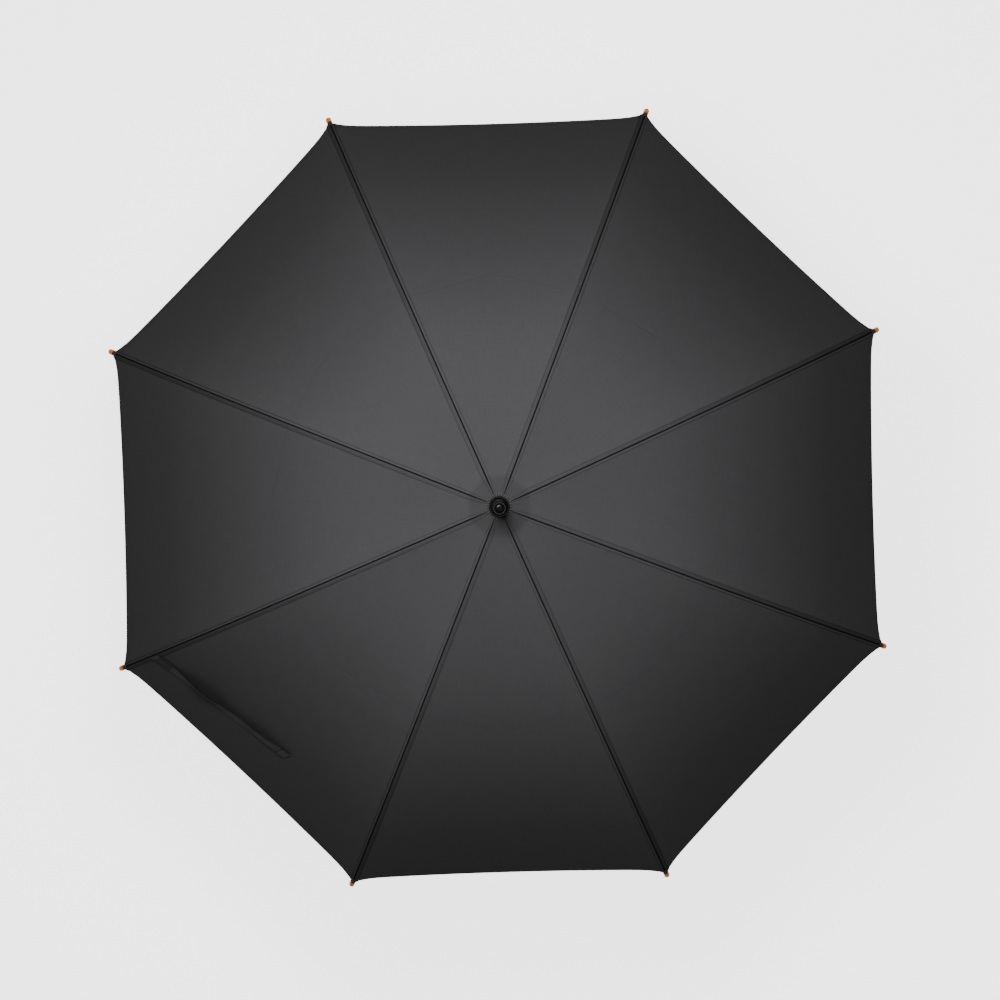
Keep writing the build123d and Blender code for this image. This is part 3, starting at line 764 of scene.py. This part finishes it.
def wood(name, stretch, dark, light, fine, shine=0.18):
    """Varnished hardwood, its grain along the direction that stretch is smallest in."""
    m = Material(name, specular_ior_level=shine, coat_weight=shine / 4, coat_roughness=0.2)
    where = m.place(stretch)
    broad = m.noise(where, 60.0 * fine, 4.0, 0.6)
    pores = m.noise(where, 900.0 * fine, 2.0, 0.6)
    mid = tuple((a + b) / 2 for a, b in zip(dark, light))
    colour = m.ramp(broad, (0.3, dark), (0.7, light), (0.5, mid))
    speck = m.between(pores, 0.62, 1.0, 0.06)
    m.set(m.shader, "Base Color", m.darken(colour, speck, 0.35))
    m.set(m.shader, "Roughness", m.node("MapRange", n0=broad, n1=0.3, n2=0.7, n3=0.34, n4=0.46))
    m.set(m.shader, "Normal", m.bump(pores, 0.05 * MM, 0.35))
    return m.material


def enamel():
    m = Material("gloss black enamel", specular_ior_level=0.06)
    where = m.place()
    peel = m.noise(where, 700.0, 1.0)
    wear = m.noise(where, 160.0, 5.0, 0.7)
    shade = m.ramp(wear, (0.4, (0.0015, 0.0015, 0.0016)), (0.75, (0.004, 0.004, 0.0042)))
    m.set(m.shader, "Base Color", shade)
    m.set(m.shader, "Roughness", m.node("MapRange", n0=wear, n1=0.3, n2=0.7, n3=0.12, n4=0.2))
    m.set(m.shader, "Normal", m.bump(peel, 0.03 * MM, 0.3))
    return m.material


def coated_steel():
    m = Material("satin black coat on steel", specular_ior_level=0.5)
    where = m.place()
    grit = m.noise(where, 3200.0, 2.0)
    wear = m.noise(where, 240.0, 6.0, 0.7)
    m.set(
        m.shader, "Base Color",
        m.ramp(wear, (0.35, (0.016, 0.016, 0.017)), (0.72, (0.028, 0.028, 0.03)), (0.8, (0.06, 0.06, 0.06))),
    )
    m.set(m.shader, "Roughness", m.node("MapRange", n0=wear, n1=0.3, n2=0.7, n3=0.32, n4=0.5))
    m.set(m.shader, "Normal", m.bump(grit, 0.03 * MM, 0.4))
    return m.material


def moulding():
    m = Material("black moulded nylon", specular_ior_level=0.5)
    grain = m.noise(m.place(), 2400.0, 3.0)
    m.set(m.shader, "Base Color", m.ramp(grain, (0.3, (0.012, 0.012, 0.013)), (0.7, (0.018, 0.018, 0.019))))
    m.set(m.shader, "Roughness", m.node("MapRange", n0=grain, n1=0.3, n2=0.7, n3=0.3, n4=0.42))
    m.set(m.shader, "Normal", m.bump(grain, 0.03 * MM, 0.3))
    return m.material


def bright_steel():
    m = Material("spring steel", metallic=1.0)
    drawn = m.noise(m.place((1, 1, 0.05)), 2600.0, 3.0, 0.6)
    m.set(m.shader, "Base Color", m.ramp(drawn, (0.3, (0.42, 0.42, 0.41)), (0.7, (0.6, 0.6, 0.58))))
    m.set(m.shader, "Roughness", m.node("MapRange", n0=drawn, n1=0.3, n2=0.7, n3=0.22, n4=0.38))
    return m.material


CLOTH = cloth_material()
ORANGE_WOOD = (0.24, 0.082, 0.013), (0.42, 0.165, 0.032)
HANDLE_WOOD = wood("handle wood", (1, 1, 0.06), *ORANGE_WOOD, 1.0)
SHAFT_WOOD = wood("shaft wood", (1, 1, 0.05), *ORANGE_WOOD, 1.2)
DEEP_ORANGE_WOOD = (0.34, 0.09, 0.002), (0.46, 0.14, 0.003)
TIP_WOOD = wood("tip wood", (1, 1, 0.5), *DEEP_ORANGE_WOOD, 2.0, shine=0.04)
STRAP_CLOTH = strap_material()
COLLAR_CLOTH = collar_cloth()
TAPE = touch_tape()

LOOKS = {
    "handle_wood": HANDLE_WOOD, "shaft_wood": SHAFT_WOOD, "tip_wood": TIP_WOOD,
    "black_gloss_metal": enamel(), "black_satin_metal": coated_steel(), "spring_steel": bright_steel(),
    "black_moulding": moulding(), "rosette_cloth": pinked_cloth(),
    "strap_web": STRAP_CLOTH, "hook_and_loop": TAPE, "canopy_cloth": CLOTH,
}
for entry in frame["record"]["subparts"]:
    mesh = frame["nodes"][entry["node"]].data
    mesh.materials.clear()
    mesh.materials.append(LOOKS[entry["material_slot"]])

# ---- pieces -------------------------------------------------------------------------------------
for n in RIBS:
    for side in (1, -1):
        for part in ("inner", "outer"):
            half_gore(n, side, part, CLOTH)
strap()

# ---- stage, light and camera --------------------------------------------------------------------
FLOOR_Z = cad_low[2] - 2 * MM
FLOOR_GLOW = 2.9  # a lit white sweep, as a studio's
WALL_GLOW = 0.45
STUDIO_R = 14.0
WALL_TALL = 5.0
STUDIO_SIDES = 96


def staged(name, verts, faces, albedo, glow):
    mesh = bpy.data.meshes.new(name)
    mesh.from_pydata(verts, [], faces)
    obj = bpy.data.objects.new(name, mesh)
    bpy.context.scene.collection.objects.link(obj)
    made = Material(
        f"pale {name}", (albedo,) * 3, roughness=0.9, specular_ior_level=0.1,
        emission_color=(1, 1, 1, 1), emission_strength=glow,
    )
    mesh.materials.append(made.material)


def studio():
    """A round pale floor, and a dimmer wall round it that ends the view from the side."""
    sides = STUDIO_SIDES
    turns = [2 * math.pi * k / sides for k in range(sides)]
    ring = [(math.cos(turn) * STUDIO_R, math.sin(turn) * STUDIO_R) for turn in turns]
    base = [(x, y, FLOOR_Z) for x, y in ring]
    staged("floor", base, [tuple(range(sides))], 0.9, FLOOR_GLOW)
    walls = [(k, k + sides, (k + 1) % sides + sides, (k + 1) % sides) for k in range(sides)]
    staged("wall", base + [(x, y, FLOOR_Z + WALL_TALL) for x, y in ring], walls, 0.25, WALL_GLOW)


def area_light(name, place, target, size, power):
    data = bpy.data.lights.new(name, "AREA")
    data.shape, data.size, data.energy = "DISK", size, power
    obj = bpy.data.objects.new(name, data)
    obj.location = place
    obj.rotation_euler = (Vector(target) - Vector(place)).to_track_quat("-Z", "Y").to_euler()
    bpy.context.scene.collection.objects.link(obj)


def world(strength):
    made = bpy.data.worlds.new("studio")
    made.use_nodes = True
    back = made.node_tree.nodes["Background"]
    back.inputs[0].default_value = (1, 1, 1, 1)
    back.inputs[1].default_value = strength
    bpy.context.scene.world = made


CAMERA_FAR = 3.0  # camera above the tips
CAMERA_TILT = math.radians(1.68)
CAMERA_SIDE = math.radians(0.21)
CAMERA_ROLL = math.radians(1.65)
FILM_MM = 36.0
LENS_MM = 86.573
CAMERA_SHIFT = (1.88 * MM, -0.89 * MM)  # across the view, off the line down the shaft


def camera():
    """Looks down the shaft. The tilts turn the umbrella in front of a camera that looks straight down."""
    data = bpy.data.cameras.new("camera")
    obj = bpy.data.objects.new("camera", data)
    data.sensor_width = FILM_MM
    data.lens = LENS_MM
    data.clip_end = 100
    turn = (
        Euler((0, CAMERA_SIDE, 0)).to_matrix() @ Euler((CAMERA_TILT, 0, 0)).to_matrix()
        @ Euler((0, 0, CAMERA_ROLL)).to_matrix()
    ).inverted().to_4x4()
    centre = Vector((0, 0, TIP[1]))
    local = turn.copy()
    local.translation = centre + turn @ Vector((*CAMERA_SHIFT, CAMERA_FAR))
    obj.matrix_world = local
    bpy.context.scene.collection.objects.link(obj)
    bpy.context.scene.camera = obj


studio()
world(0.05)
# both lamps' places and strengths were chosen so that the cloth's brightness follows the picture's
area_light("key", (-0.1, 0.28, 1.65), (0.0, 0.0, 0.6), 0.4, 25)
area_light("top", (-0.5, 1.0, 3.4), (0, 0, 0.5), 1.6, 12)
camera()
